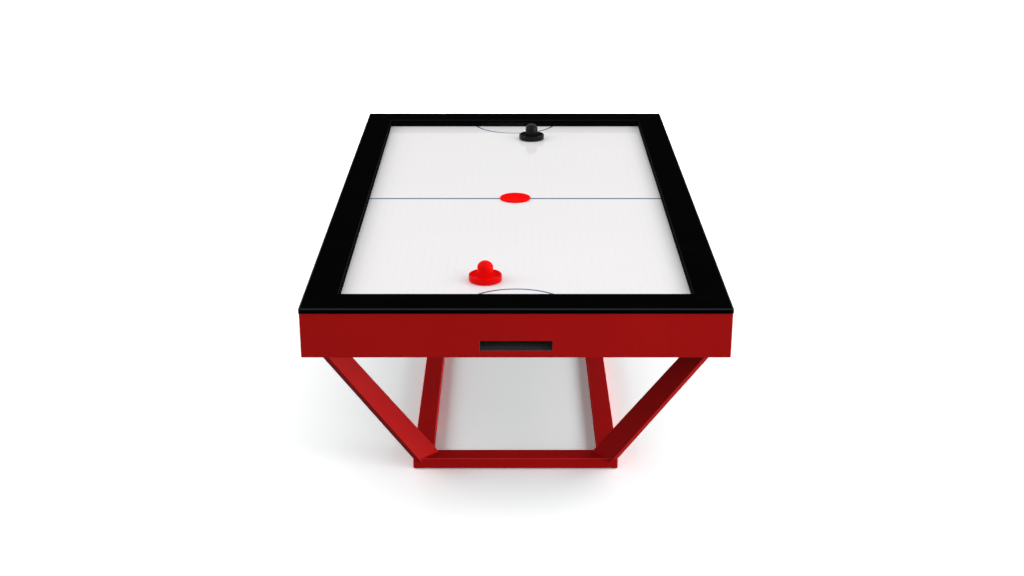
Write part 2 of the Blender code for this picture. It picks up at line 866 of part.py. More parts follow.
def build_legs():
    """Each leg stands on a ring corner, and its lower end is cut to fit over the corner's outside."""
    offset = (RING_Y - RING_X) / 2
    top = PLATE_LOW - GAP
    corner = box_cutter(
        "ring_corner_clearance",
        (-RING_X - GAP, -RING_Y - GAP, -PAST),
        (RING_X + GAP, RING_Y + GAP, TUBE_TOP + GAP),
    )
    for end, toward in ENDS.items():
        for side, across in SIDES.items():
            place = (-across * offset, toward * offset, 0)
            turn = (pi / 2, 0, atan2(toward, across))
            leg = add_part(f"leg_{end}_{side}", "red_powder_coat", leg_mesh(top), place, turn)
            combine(leg, corner)
            bore = add_cutter(f"leg_bore_{end}_{side}", leg_hollow_mesh(top), place, turn)
            combine(leg, bore)


def build_leg_plates():
    """Flat plates on top of the legs, bolted up into the corner blocks."""
    for end, toward in ENDS.items():
        for side, across in SIDES.items():
            x_from, x_to = sorted(across * x for x in PLATE_X)
            y_from, y_to = sorted(toward * y for y in PLATE_Y)
            centre, size = middle_and_size((x_from, y_from, PLATE_LOW), (x_to, y_to, PLATE_TOP))
            half_x, half_y = size.x / 2, size.y / 2
            outline = [(half_x, half_y), (-half_x, half_y), (-half_x, -half_y), (half_x, -half_y)]
            outlines = [outline]
            reach_x, reach_y = half_x - PLATE_HOLE_INSET, half_y - PLATE_HOLE_INSET
            for x in (-reach_x, reach_x):
                for y in (-reach_y, reach_y):
                    outlines.append(arc((x, y), PLATE_HOLE, 0, 330, 11))
            mesh = prism_mesh(outlines, PLATE_THICK)
            add_part(f"leg_plate_{end}_{side}", "red_powder_coat", mesh, centre)


def build_levellers():
    y = RING_Y - TUBE_WIDE / 2
    pad_top = FOOT_HEIGHT - GAP
    profile = [
        (0, LEVELLER_TOP),
        (LEVELLER_STEM - LEVELLER_EDGE, LEVELLER_TOP),
        (LEVELLER_STEM, LEVELLER_TOP - LEVELLER_EDGE),
        (LEVELLER_STEM, pad_top),
        (LEVELLER_PAD - LEVELLER_EDGE, pad_top),
        (LEVELLER_PAD, pad_top - LEVELLER_EDGE),
        (LEVELLER_PAD, LEVELLER_EDGE),
        (LEVELLER_PAD - LEVELLER_EDGE, 0),
        (0, 0),
    ]
    for end, toward in ENDS.items():
        for side, across in SIDES.items():
            place = (across * LEVELLER_X, toward * y, 0)
            turned(f"leveller_{end}_{side}", "grey_plastic", profile, 24, place)


# ---------------------------------------------------------------- puck and mallets


def build_puck():
    radius, rim = PUCK_RADIUS, PUCK_RIM
    profile = [(0, PUCK_THICK)]
    profile += arc((radius - rim, PUCK_THICK - rim), rim, 90, 0, 3)
    profile += arc((radius - rim, rim), rim, 0, -90, 3)
    profile.append((0, 0))
    turned("puck", "red_plastic", profile, PLAY_STEPS, (0, 0, FIELD_TOP + GAP))


def mallet_profile():
    """A domed knob in a trough with a raised lip round it, from the top of the knob down."""
    lip = MALLET_LIP_THICK / 2
    crown = MALLET_HEIGHT - MALLET_KNOB
    trough_out = MALLET_RADIUS - MALLET_LIP_THICK
    fillet = MALLET_FILLET
    foot = MALLET_BASE_ROUND
    profile = [(0, MALLET_HEIGHT)]
    profile += arc((0, crown), MALLET_KNOB, 90, 0, 8)[1:]
    profile += arc((MALLET_KNOB + fillet, MALLET_TROUGH + fillet), fillet, 180, 270, 3)
    profile += arc((trough_out - fillet, MALLET_TROUGH + fillet), fillet, 270, 360, 3)
    profile += arc((MALLET_RADIUS - lip, MALLET_LIP - lip), lip, 180, 0, 6)
    profile += arc((MALLET_RADIUS - foot, foot), foot, 0, -90, 3)
    profile.append((0, 0))
    return profile


def build_mallets():
    felt_low = FIELD_TOP + GAP
    body_low = felt_low + FELT_THICK + GAP
    for end, finish, (x, y) in (
        ("near", "red_plastic", NEAR_MALLET_AT),
        ("far", "black_gloss", FAR_MALLET_AT),
    ):
        turned(f"mallet_{end}", finish, mallet_profile(), PLAY_STEPS, (x, y, body_low))
        felt = cylinder_mesh(FELT_RADIUS, FELT_THICK, PLAY_STEPS)
        add_part(f"mallet_felt_{end}", "felt", felt, (x, y, felt_low + FELT_THICK / 2))


def shade_round_pieces():
    for part in PARTS.objects:
        part.data.shade_smooth()
        part.data.set_sharp_from_angle(angle=radians(35))


clear_scene()
PARTS = new_collection("air_hockey_table")
CUTTERS = new_collection("cutters")
build_aprons()
build_bottom_panel()
build_corner_blocks()
build_playfield()
build_plenum()
build_rail_caps()
build_rail_cores()
build_goal_chutes()
build_blower_housing()
build_blower_motor()
build_motor_bracket()
build_impeller()
build_intake_grille()
build_switch()
build_inlet()
build_ring()
build_legs()
build_leg_plates()
build_levellers()
build_puck()
build_mallets()
shade_round_pieces()
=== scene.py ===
"""Looks for the full-size air hockey table: finishes, fine pieces, stage, light and camera.

Units are metres and +Z is up. The near end faces -Y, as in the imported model. Patterns are worked out from
each piece's own coordinates, which are the table's coordinates for a piece that keeps its CAD place.
"""

import json
from math import asin, cos, degrees, pi, radians, sin, sqrt

import bmesh
import bpy
from mathutils import Matrix, Vector


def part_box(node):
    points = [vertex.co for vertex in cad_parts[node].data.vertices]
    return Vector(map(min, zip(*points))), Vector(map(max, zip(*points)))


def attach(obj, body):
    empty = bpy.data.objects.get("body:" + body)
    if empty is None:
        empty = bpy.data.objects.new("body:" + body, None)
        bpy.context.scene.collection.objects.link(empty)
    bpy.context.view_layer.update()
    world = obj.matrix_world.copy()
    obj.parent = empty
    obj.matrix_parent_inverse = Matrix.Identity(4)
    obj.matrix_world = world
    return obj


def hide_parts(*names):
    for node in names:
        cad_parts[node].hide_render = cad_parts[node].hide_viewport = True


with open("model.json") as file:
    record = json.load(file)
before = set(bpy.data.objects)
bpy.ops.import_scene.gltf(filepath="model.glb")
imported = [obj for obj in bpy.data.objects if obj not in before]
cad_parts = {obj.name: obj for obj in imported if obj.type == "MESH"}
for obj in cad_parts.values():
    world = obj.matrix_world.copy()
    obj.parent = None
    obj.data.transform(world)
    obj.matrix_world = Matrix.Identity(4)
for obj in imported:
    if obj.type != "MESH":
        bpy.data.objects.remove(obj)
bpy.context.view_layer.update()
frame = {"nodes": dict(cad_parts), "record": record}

# The clearance that the CAD leaves between neighbouring pieces
CAD_GAP = 0.0003

SURFACE_IOR = 1.5
ENDS = {"near": -1, "far": 1}
SIDES = {"left": -1, "right": 1}

# Camera and light
CAMERA_AT = (-0.013, -5.612, 2.553)
CAMERA_TILT = radians(68.98)
CAMERA_LENS = 51.33
CAMERA_SENSOR = 36.0
FLOOR_SIZE = 60.0
FLOOR_WHITE = (1.38, 1.41, 1.415)
SKY_LEVEL = 0.79
SKY_BELOW = 0.08
SKY_FADE = 0.03
SOFTBOXES = {
    "key_softbox": {"at": (8.7, -2.33, 0.55), "aim": (0, 0, 0.55), "size": (2.5, 0.5), "power": 723.0},
    "right_softbox": {"at": (4.84, -0.85, 3.84), "aim": (0, 0, 0.5), "size": (3.0, 3.0), "power": 73.0},
    "left_softbox": {"at": (-5.12, -0.90, 3.40), "aim": (0, 0, 0.5), "size": (3.0, 3.0), "power": 76.0},
    "front_softbox": {"at": (4.49, -4.49, 3.36), "aim": (0, 0, 0.5), "size": (3.0, 2.5), "power": 59.0},
    "back_softbox": {"at": (0.0, 6.0, 0.5), "aim": (0, 0, 0.2), "size": (4.0, 0.7), "power": 153.0},
}
UNMIRRORED_SOFTBOX = "back_softbox"

# Playfield: a drilled board with blue markings
HOLE_PITCH = 0.030
HOLE_RADIUS = 0.0008
HOLE_DEPTH = 0.004
HOLE_COLUMNS = 39
HOLE_ROWS = 75
# The walls of the holes and the board's cut edges take a dark fibreboard, as painted shade.
HOLE_SHADE_INDEX = 1
CENTRE_LINE_WIDTH = 0.015
CREASE_LINE_WIDTH = 0.010
CREASE_RADIUS = 0.188
CREASE_CENTRE = 1.201
MARKING_BLUR = 0.0003

# Puck and mallets
TURN_STEPS = 96
SCREW_STEPS = 24
PUCK_ROUND = 0.0016
PUCK_BAND = 0.0062
PUCK_BAND_SLOPE = 0.0008
PUCK_DISH = 0.0002
MALLET_LIP = 0.021
MALLET_LIP_THICK = 0.0055
MALLET_TROUGH = 0.008
MALLET_KNOB = 0.0275
MALLET_DOME = 0.0235
MALLET_FILLET = 0.004
MALLET_FOOT = 0.002

# Welds and fasteners
BEAD_RADIUS = 0.0020
BEAD_STEP = 0.0012
BEAD_RIPPLE = 0.0048
BEAD_THINNEST = 0.8
SAME_LEVEL = 0.0001
SAME_SIDE = 0.001
LEG_BOLT = {"radius": 0.0070, "height": 0.0040, "socket": 0.0029, "washer": 0.0016}
GRILLE_SCREW = {"radius": 0.0030, "height": 0.0015, "socket": 0.0012, "washer": 0.0003}
INLET_SCREW = {"radius": 0.0026, "height": 0.0014, "socket": 0.0011, "washer": 0.0003}
PANEL_SCREW = {"radius": 0.0035, "height": 0.0018, "socket": 0.0014, "washer": 0.0003}
SOCKET_DEPTH_SHARE = 0.35
SOCKET_CHAMFER = 0.0003
SOCKET_LIP = 1.15
WASHER_SPREAD = 1.2
LEG_BOLT_INSET = 0.014
GRILLE_SCREW_INSET = 0.0055
PANEL_SCREW_INSET = 0.018
PANEL_SCREW_STEP_X = 0.25
PANEL_SCREW_STEP_Y = 0.30
INLET_SCREW_REACH = 0.020
INLET_PINS = ((-0.007, -0.0015), (0.007, -0.0015), (0.0, 0.0025))
INLET_PIN_SIZE = (0.0022, 0.0042)
INLET_PIN_LENGTH = 0.012
INLET_PIN_DEPTH = 0.0117
INLET_PIN_ROUND = 0.0003

# Edges of meshes
MERGE_DISTANCE = 0.00001
FLAT_ANGLE = radians(0.5)
SOFT_EDGE_ANGLE = radians(32)
SHARP_ANGLE = radians(38)


# ---------------------------------------------------------------- node recipes


class Recipe:
    """Builds a node tree a step at a time. Numbers and sockets can both feed an input."""

    def __init__(self, tree):
        self.tree = tree

    def node(self, kind, inputs=None, **settings):
        made = self.tree.nodes.new(kind)
        for key, value in settings.items():
            setattr(made, key, value)
        for key, value in (inputs or {}).items():
            self.feed(made.inputs[key], value)
        return made

    def feed(self, socket, value):
        if isinstance(value, bpy.types.NodeSocket):
            self.tree.links.new(value, socket)
        else:
            socket.default_value = value

    def math(self, operation, first, second=0.0):
        return self.node("ShaderNodeMath", {0: first, 1: second}, operation=operation).outputs[0]

    def remap(self, value, low, high, to_low=0.0, to_high=1.0):
        """The value moved from one range to another, and held at the ends."""
        inputs = {"Value": value, "From Min": low, "From Max": high}
        inputs.update({"To Min": to_low, "To Max": to_high})
        return self.node("ShaderNodeMapRange", inputs, clamp=True).outputs[0]

    def blend(self, factor, first, second):
        """A colour that goes from the first to the second as the factor goes from 0 to 1."""
        inputs = {0: factor, 6: first, 7: second}
        made = self.node("ShaderNodeMix", inputs, data_type="RGBA")
        return made.outputs[2]


class Finish(Recipe):
    """A material's recipe, which ends in its Principled shader."""

    def __init__(self, name, specular, sheen=0.0):
        self.material = bpy.data.materials.new(name)
        self.material.use_nodes = True
        super().__init__(self.material.node_tree)
        self.shader = self.tree.nodes["Principled BSDF"]
        self.shader.inputs["Specular IOR Level"].default_value = specular
        self.shader.inputs["IOR"].default_value = SURFACE_IOR
        self.shader.inputs["Sheen Weight"].default_value = sheen
        self.place = self.node("ShaderNodeTexCoord").outputs["Object"]

    def noise(self, scale, detail, roughness, stretch=None, turn=0.0):
        """Soft noise from 0 to 1, with about scale features to the metre along each axis that isn't
        stretched. More detail adds finer layers, and more roughness makes them stronger."""
        place = self.place
        if stretch or turn:
            inputs = {"Vector": place, "Scale": stretch or (1, 1, 1), "Rotation": (0, 0, turn)}
            place = self.node("ShaderNodeMapping", inputs).outputs[0]
        inputs = {"Vector": place, "Scale": scale, "Detail": detail, "Roughness": roughness}
        return self.node("ShaderNodeTexNoise", inputs).outputs[0]

    def shade(self, colour, value, low, high):
        """The colour made darker or lighter as value runs from 0.3 to 0.7."""
        amount = self.remap(value, 0.3, 0.7, low, high)
        made = self.node("ShaderNodeHueSaturation", {"Value": amount, "Color": colour})
        return made.outputs[0]

    def edges(self, radius):
        """1 on edges and corners and 0 on flats, from how far the rounded normal leans."""
        rounded = self.node("ShaderNodeBevel", {"Radius": radius}, samples=4).outputs[0]
        plain = self.node("ShaderNodeNewGeometry").outputs["Normal"]
        inputs = {0: rounded, 1: plain}
        dot = self.node("ShaderNodeVectorMath", inputs, operation="DOT_PRODUCT")
        lean = self.math("SUBTRACT", 1.0, dot.outputs["Value"])
        return self.remap(lean, 0.01, 0.20)

    def square_edges(self):
        """1 on the roundings and 0 on the flats of a piece whose flats face along the axes."""
        facing = self.node("ShaderNodeTexCoord").outputs["Normal"]
        size = self.node("ShaderNodeVectorMath", {0: facing}, operation="ABSOLUTE").outputs[0]
        parts = self.node("ShaderNodeSeparateXYZ", {"Vector": size}).outputs
        most = self.math("MAXIMUM", self.math("MAXIMUM", parts[0], parts[1]), parts[2])
        return self.remap(most, 0.995, 0.90)

    def scratches(self, turn, scale):
        """1 on thin streaks that lie along one direction, and 0 between them."""
        streaks = self.noise(scale, 2.0, 0.6, stretch=(1.0, 0.012, 1.0), turn=turn)
        return self.remap(streaks, 0.66, 0.72)

    def crossed_scratches(self, first, second):
        """Scratches in two directions, each given as its turn and scale."""
        return self.math("MAXIMUM", self.scratches(*first), self.scratches(*second))

    def bump(self, height, depth):
        """A normal from a height that runs from 0 to 1 over the depth."""
        inputs = {"Height": height, "Distance": depth, "Strength": 1.0}
        return self.node("ShaderNodeBump", inputs).outputs[0]

    def end(self, colour, roughness, normal, metallic=0.0):
        """Feeds the shader and gives the finished material."""
        self.feed(self.shader.inputs["Base Color"], colour)
        self.feed(self.shader.inputs["Roughness"], roughness)
        self.feed(self.shader.inputs["Normal"], normal)
        self.shader.inputs["Metallic"].default_value = metallic
        return self.material

    def polish(self, weight, roughness):
        """A clear coat whose weight may vary over the surface."""
        self.feed(self.shader.inputs["Coat Weight"], weight)
        self.shader.inputs["Coat Roughness"].default_value = roughness


def rgb(red, green, blue):
    return (red, green, blue, 1.0)


# ---------------------------------------------------------------- finishes


def painted(name, colour, specular, peel_scale, roughness, wear_and_highlight, edge_gloss, square=True, dark_inside=False):
    """Red paint: cloudy depth, an orange-peel or powder texture, handling marks, fine scuffs, and paler
    edges, partly rubbed paint and partly a painted highlight. A square piece has flats along the axes. With
    dark_inside set, its faces inside the cabinet are near black."""
    finish = Finish(name, specular=specular)
    clouds = finish.noise(2.2, 4.0, 0.55)
    mottle = finish.noise(45.0, 3.0, 0.6)
    tone = finish.shade(colour, clouds, 0.95, 1.05)
    tone = finish.shade(tone, mottle, 0.975, 1.025)
    edges = finish.square_edges() if square else finish.edges(radius=0.0025)
    patchy = finish.remap(finish.noise(28.0, 4.0, 0.65), 0.40, 0.60, 0.5, 1.0)
    rubbed = finish.math("MULTIPLY", edges, patchy)
    # Paler edges: rubbed paint, and a painted highlight along the roundings.
    tone = finish.blend(finish.math("MULTIPLY", rubbed, wear_and_highlight), tone, WORN_AND_HIGHLIGHT_RED)
    scuffs = finish.math("MULTIPLY", finish.crossed_scratches((0.5, 500.0), (-1.1, 650.0)), patchy)
    tone = finish.blend(finish.math("MULTIPLY", scuffs, 0.10), tone, WORN_AND_HIGHLIGHT_RED)
    # Faces inside the cabinet and the walls of the puck slots are coloured near black instead of red.
    if dark_inside:
        inside_tone = finish.shade(INSIDE_BLACK, mottle, 0.8, 1.2)
        tone = finish.blend(inside_cabinet(finish), tone, inside_tone)
    handling = finish.remap(finish.noise(7.0, 5.0, 0.6), 0.45, 0.70)
    rough = finish.remap(handling, 0.0, 1.0, roughness, roughness + 0.12)
    rough = finish.math("SUBTRACT", rough, finish.math("MULTIPLY", rubbed, 0.08))
    rough = finish.math("ADD", rough, finish.math("MULTIPLY", scuffs, 0.10))
    if edge_gloss:
        finish.polish(finish.math("MULTIPLY", edges, edge_gloss), roughness=0.22)
    peel = finish.bump(finish.noise(peel_scale, 2.0, 0.5), depth=0.00005)
    return finish.end(tone, rough, peel)


def inside_cabinet(finish):
    """1 on the aprons' inner faces and on the walls of their puck slots, 0 on their outer faces."""
    parts = finish.node("ShaderNodeSeparateXYZ", {"Vector": finish.place})
    across = finish.math("ABSOLUTE", parts.outputs[0])
    along = finish.math("ABSOLUTE", parts.outputs[1])
    mask = finish.math("LESS_THAN", across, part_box("bottom_panel")[1].x + 2 * CAD_GAP)
    within = finish.math("LESS_THAN", along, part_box("apron_far")[1].y - CAD_GAP)
    mask = finish.math("MULTIPLY", mask, within)
    above = finish.math("GREATER_THAN", parts.outputs[2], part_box("apron_far")[0].z + 0.002)
    return finish.math("MULTIPLY", mask, above)


def black_lacquer(name):
    """Satin black over board: near black flats, and polished roundings made lighter and bluer, a painted
    highlight.
    """
    finish = Finish(name, specular=0.0001)
    haze = finish.remap(finish.noise(5.0, 5.0, 0.6), 0.40, 0.70)
    tone = finish.blend(haze, rgb(0.0011, 0.0011, 0.0012), rgb(0.0018, 0.0017, 0.0017))
    edges = finish.square_edges()
    streaks = finish.crossed_scratches((0.6, 900.0), (-0.9, 900.0))
    tone = finish.blend(finish.math("MULTIPLY", streaks, 0.25), tone, rgb(0.006, 0.006, 0.007))
    # Painted highlight: the roundings are coloured lighter and bluer than the flats.
    tone = finish.blend(edges, tone, rgb(0.0060, 0.0085, 0.0120))
    rough = finish.remap(haze, 0.0, 1.0, 0.42, 0.56)
    rough = finish.math("ADD", rough, finish.math("MULTIPLY", streaks, 0.15))
    finish.polish(finish.math("MULTIPLY", edges, 0.40), roughness=0.16)
    grain = finish.bump(finish.noise(520.0, 3.0, 0.55), depth=0.00004)
    return finish.end(tone, rough, grain)


def field_laminate(name):
    """Glossy white laminate with a blue centre line, blue goal creases and fine puck scuffs."""
    finish = Finish(name, specular=0.08)
    parts = finish.node("ShaderNodeSeparateXYZ", {"Vector": finish.place})
    x, y = parts.outputs[0], parts.outputs[1]
    along = finish.math("ABSOLUTE", y)
    from_goal = finish.math("SUBTRACT", along, CREASE_CENTRE)
    x_square, goal_square = (finish.math("MULTIPLY", side, side) for side in (x, from_goal))
    from_centre = finish.math("SQRT", finish.math("ADD", x_square, goal_square))
    from_crease = finish.math("SUBTRACT", from_centre, CREASE_RADIUS)
    crease = finish.math("SUBTRACT", finish.math("ABSOLUTE", from_crease), CREASE_LINE_WIDTH / 2)
    centre_line = finish.math("SUBTRACT", along, CENTRE_LINE_WIDTH / 2)
    nearest = finish.math("MINIMUM", centre_line, crease)
    marking = finish.remap(nearest, -MARKING_BLUR, MARKING_BLUR, 1.0, 0.0)
    clouds = finish.noise(1.7, 4.0, 0.5)
    white = finish.shade(rgb(0.864, 0.848, 0.856), clouds, 0.992, 1.008)
    ink = finish.shade(rgb(0.110, 0.155, 0.280), finish.noise(90.0, 3.0, 0.6), 0.93, 1.07)
    scuffs = finish.crossed_scratches((0.35, 500.0), (-0.5, 700.0))
    white = finish.blend(finish.math("MULTIPLY", scuffs, 0.05), white, rgb(0.45, 0.44, 0.45))
    tone = finish.blend(marking, white, ink)
    rough = finish.remap(finish.noise(9.0, 4.0, 0.6), 0.35, 0.65, 0.045, 0.085)
    rough = finish.math("ADD", rough, finish.math("MULTIPLY", scuffs, 0.12))
    ripple = finish.bump(finish.noise(30.0, 2.0, 0.4), depth=0.00001)
    return finish.end(tone, rough, ripple)


def moulded(name, colour, roughness, specular, grain_scale, grain_depth, scuff):
    """Moulded plastic with a fine mould texture, slight flow marks and pale rubs on its edges."""
    finish = Finish(name, specular=specular)
    flow = finish.noise(14.0, 4.0, 0.55)
    tone = finish.shade(colour, flow, 0.95, 1.05)
    edges = finish.edges(radius=0.0012)
    patchy = finish.remap(finish.noise(160.0, 4.0, 0.65), 0.45, 0.62)
    rubbed = finish.math("MULTIPLY", edges, patchy)
    tone = finish.blend(finish.math("MULTIPLY", rubbed, 0.5), tone, scuff)
    streaks = finish.crossed_scratches((0.4, 1600.0), (1.3, 1900.0))
    rough = finish.remap(flow, 0.3, 0.7, roughness - 0.05, roughness + 0.05)
    rough = finish.math("ADD", rough, finish.math("MULTIPLY", streaks, 0.12))
    grain = finish.bump(finish.noise(grain_scale, 3.0, 0.6), grain_depth)
    return finish.end(tone, rough, grain)


def pressed_felt(name):
    """Grey pressed felt: matted fibres with a soft sheen."""
    finish = Finish(name, specular=0.1, sheen=0.35)
    fibres = finish.noise(1500.0, 5.0, 0.75)
    matting = finish.noise(160.0, 4.0, 0.6)
    tone = finish.shade(rgb(0.50, 0.50, 0.48), fibres, 0.80, 1.15)
    tone = finish.shade(tone, matting, 0.94, 1.06)
    rough = finish.remap(fibres, 0.3, 0.7, 0.88, 1.0)
    nap = finish.bump(fibres, depth=0.0003)
    return finish.end(tone, rough, nap)


def zinc_steel(name):
    """Zinc-plated steel: brushed streaks, cloudy plating and a few dull spots."""
    finish = Finish(name, specular=0.5)
    brushed = finish.noise(1400.0, 2.0, 0.5, stretch=(0.03, 1.0, 0.03))
    clouds = finish.noise(60.0, 4.0, 0.6)
    tone = finish.shade(rgb(0.52, 0.53, 0.55), brushed, 0.93, 1.05)
    tone = finish.shade(tone, clouds, 0.94, 1.04)
    rough = finish.remap(clouds, 0.3, 0.7, 0.28, 0.44)
    grain = finish.bump(brushed, depth=0.00002)
    return finish.end(tone, rough, grain, metallic=1.0)


def pine(name, stretch):
    """Planed softwood with its grain along one axis, the one with the small stretch."""
    finish = Finish(name, specular=0.2)
    rings = finish.noise(38.0, 4.0, 0.55, stretch=stretch)
    bands = finish.math("SINE", finish.math("MULTIPLY", rings, 46.0))
    fibres = finish.noise(420.0, 3.0, 0.6, stretch=stretch)
    tone = finish.blend(finish.remap(bands, -1.0, 1.0), EARLY_WOOD, LATE_WOOD)
    tone = finish.shade(tone, fibres, 0.88, 1.08)
    rough = finish.remap(fibres, 0.3, 0.7, 0.62, 0.80)
    return finish.end(tone, rough, finish.bump(fibres, depth=0.00012))


def fibreboard(name, colour):
    """Fibreboard: fine chips pressed into a flat sheet."""
    finish = Finish(name, specular=0.15)
    cells = finish.node("ShaderNodeTexVoronoi", {"Vector": finish.place, "Scale": 600.0})
    chips = finish.math("FRACT", finish.math("MULTIPLY", cells.outputs["Distance"], 3.0))
    clouds = finish.noise(12.0, 4.0, 0.6)
    tone = finish.shade(colour, clouds, 0.92, 1.07)
    tone = finish.shade(tone, chips, 0.90, 1.06)
    rough = finish.remap(clouds, 0.3, 0.7, 0.68, 0.84)
    return finish.end(tone, rough, finish.bump(chips, depth=0.00008))


CABINET_RED = rgb(0.450, 0.0085, 0.0082)
BASE_RED = rgb(0.423, 0.0075, 0.0078)
# Pale red for edges: rubbed paint, and a painted highlight.
WORN_AND_HIGHLIGHT_RED = rgb(0.850, 0.055, 0.057)
# Near black for faces inside the cabinet.
INSIDE_BLACK = rgb(0.060, 0.060, 0.062)
EARLY_WOOD = rgb(0.52, 0.36, 0.20)
LATE_WOOD = rgb(0.37, 0.22, 0.10)

# How far the edges turn pale: rubbed paint, and a painted highlight line, strongest on the ring and the
# legs.
CABINET_PAINT = {"specular": 0.03, "peel_scale": 300.0, "roughness": 0.36, "wear_and_highlight": 0.20, "edge_gloss": 0.30}
RING_PAINT = {"specular": 0.003, "peel_scale": 900.0, "roughness": 0.42, "wear_and_highlight": 0.95, "edge_gloss": 0.35}
LEG_PAINT = {"specular": 0.08, "peel_scale": 900.0, "roughness": 0.42, "wear_and_highlight": 0.50, "edge_gloss": 0.25}
WELD_PAINT = {"specular": 0.003, "peel_scale": 900.0, "roughness": 0.42, "wear_and_highlight": 0.10, "edge_gloss": 0.0}

# Moulded pieces by slot: colour, rubbed edges' colour, roughness, specular level, and mould grain
MOULDINGS = {
    "chute_black": {
        "name": "black_plastic",
        "colour": rgb(0.095, 0.097, 0.095),
        "scuff": rgb(0.12, 0.12, 0.12),
        "roughness": 0.50,
        "specular": 0.25,
        "grain_scale": 1400.0,
        "grain_depth": 0.00004,
    },
    "fan_grey": {
        "name": "grey_plastic",
        "colour": rgb(0.100, 0.100, 0.110),
        "scuff": rgb(0.22, 0.22, 0.22),
        "roughness": 0.48,
        "specular": 0.30,
        "grain_scale": 1400.0,
        "grain_depth": 0.00003,
    },
    "foot_grey": {
        "name": "glide_plastic",
        "colour": rgb(0.080, 0.080, 0.085),
        "scuff": rgb(0.20, 0.20, 0.20),
        "roughness": 0.55,
        "specular": 0.30,
        "grain_scale": 1200.0,
        "grain_depth": 0.00005,
    },
    "switch_black": {
        "name": "gloss_black_plastic",
        "colour": rgb(0.008, 0.008, 0.009),
        "scuff": rgb(0.04, 0.04, 0.04),
        "roughness": 0.20,
        "specular": 0.45,
        "grain_scale": 500.0,
        "grain_depth": 0.00001,
    },
    "puck_red": {
        "name": "puck_plastic",
        "colour": rgb(0.95, 0.0018, 0.0017),
        "scuff": rgb(1.0, 0.06, 0.05),
        "roughness": 0.36,
        "specular": 0.001,
        "grain_scale": 700.0,
        "grain_depth": 0.00002,
    },
    "mallet_red": {
        "name": "red_mallet_plastic",
        "colour": rgb(0.84, 0.0030, 0.0028),
        "scuff": rgb(1.0, 0.05, 0.04),
        "roughness": 0.34,
        "specular": 0.03,
        "grain_scale": 600.0,
        "grain_depth": 0.00001,
    },
    "mallet_black": {
        "name": "black_mallet_plastic",
        "colour": rgb(0.004, 0.004, 0.0045),
        "scuff": rgb(0.04, 0.04, 0.04),
        "roughness": 0.34,
        "specular": 0.14,
        "grain_scale": 600.0,
        "grain_depth": 0.00001,
    },
}

FINISHES = {
    "cabinet_red": painted("red_lacquer", CABINET_RED, dark_inside=True, **CABINET_PAINT),
    "base_red": painted("red_powder_coat", BASE_RED, **RING_PAINT),
    "rail_black": black_lacquer("black_lacquer"),
    "field_white": field_laminate("white_laminate"),
    "bare_board": fibreboard("bare_fibreboard", rgb(0.40, 0.26, 0.15)),
    "fan_steel": zinc_steel("zinc_steel"),
    "felt_grey": pressed_felt("grey_felt"),
}
FINISHES.update({slot: moulded(**moulding) for slot, moulding in MOULDINGS.items()})
PANEL_FINISH = fibreboard("stained_fibreboard", rgb(0.022, 0.022, 0.023))
# Fibreboard much darker than the bare board: painted shade in the air holes and on the board's cut edges.
HOLE_SHADE_FINISH = fibreboard("hole_shade_fibreboard", rgb(0.060, 0.050, 0.040))
LEG_FINISH = painted("red_powder_coat_legs", BASE_RED, square=False, **LEG_PAINT)
WELD_FINISH = painted("red_powder_coat_welds", BASE_RED, **WELD_PAINT)
PINE_ALONG = pine("pine_along", (1.0, 0.05, 1.0))
PINE_ACROSS = pine("pine_across", (0.05, 1.0, 1.0))


# ---------------------------------------------------------------- pieces that stay as the CAD made them


# The widest rounding of each slot's edges. Short edges in a piece's CAD mesh can make it narrower.
SOFT_EDGES = {
    "cabinet_red": 0.0008,
    "rail_black": 0.0006,
    "bare_board": 0.0008,
    "base_red": 0.0012,
    "chute_black": 0.0005,
    "foot_grey": 0.0,
    "fan_steel": 0.0003,
    "fan_grey": 0.0003,
    "switch_black": 0.0004,
}


def soften(node, width):
    """Welds the imported triangles, rounds the sharp edges a little and evens out the shading."""
    mesh = node.data
    if "custom_normal" in mesh.attributes:
        mesh.attributes.remove(mesh.attributes["custom_normal"])
    mesh.shade_smooth()
    weld = node.modifiers.new("weld", "WELD")
    weld.merge_threshold = MERGE_DISTANCE
    flat = node.modifiers.new("flat_faces", "DECIMATE")
    flat.decimate_type = "DISSOLVE"
    flat.angle_limit = FLAT_ANGLE
    if width:
        bevel = node.modifiers.new("soft_edges", "BEVEL")
        bevel.width = width
        bevel.segments = 2
        bevel.limit_method = "ANGLE"
        bevel.angle_limit = SOFT_EDGE_ANGLE
        bevel.harden_normals = False
    even = node.modifiers.new("even_shading", "WEIGHTED_NORMAL")
    even.keep_sharp = False


def finish_nodes():
    """Gives every CAD node its finish and softens the edges of those that stay."""
    for row in frame["record"]["subparts"]:
        name, slot = row["node"], row["material_slot"]
        node = frame["nodes"][name]
        material = FINISHES[slot]
        if name.startswith(("plenum_batten_l", "plenum_batten_r")):
            material = PINE_ALONG
        elif name.startswith(("plenum_batten", "plenum_rib", "corner_block")):
            material = PINE_ACROSS
        elif name.startswith("leg_") and slot == "base_red":
            material = LEG_FINISH
        elif name == "bottom_panel":
            material = PANEL_FINISH
        node.data.materials.clear()
        node.data.materials.append(material)
        if slot in SOFT_EDGES:
            soften(node, SOFT_EDGES[slot])


# ---------------------------------------------------------------- fine pieces


def add_piece(name, mesh, body, slot, materials=None, at=(0, 0, 0), replaces=()):
    """Puts a piece on a body, in place of the CAD nodes that it replaces, if any."""
    for material in materials or [FINISHES[slot]]:
        mesh.materials.append(material)
    piece = bpy.data.objects.new(name, mesh)
    piece.location = at
    bpy.context.scene.collection.objects.link(piece)
    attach(piece, body)
    if replaces:
        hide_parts(*replaces)
    return piece


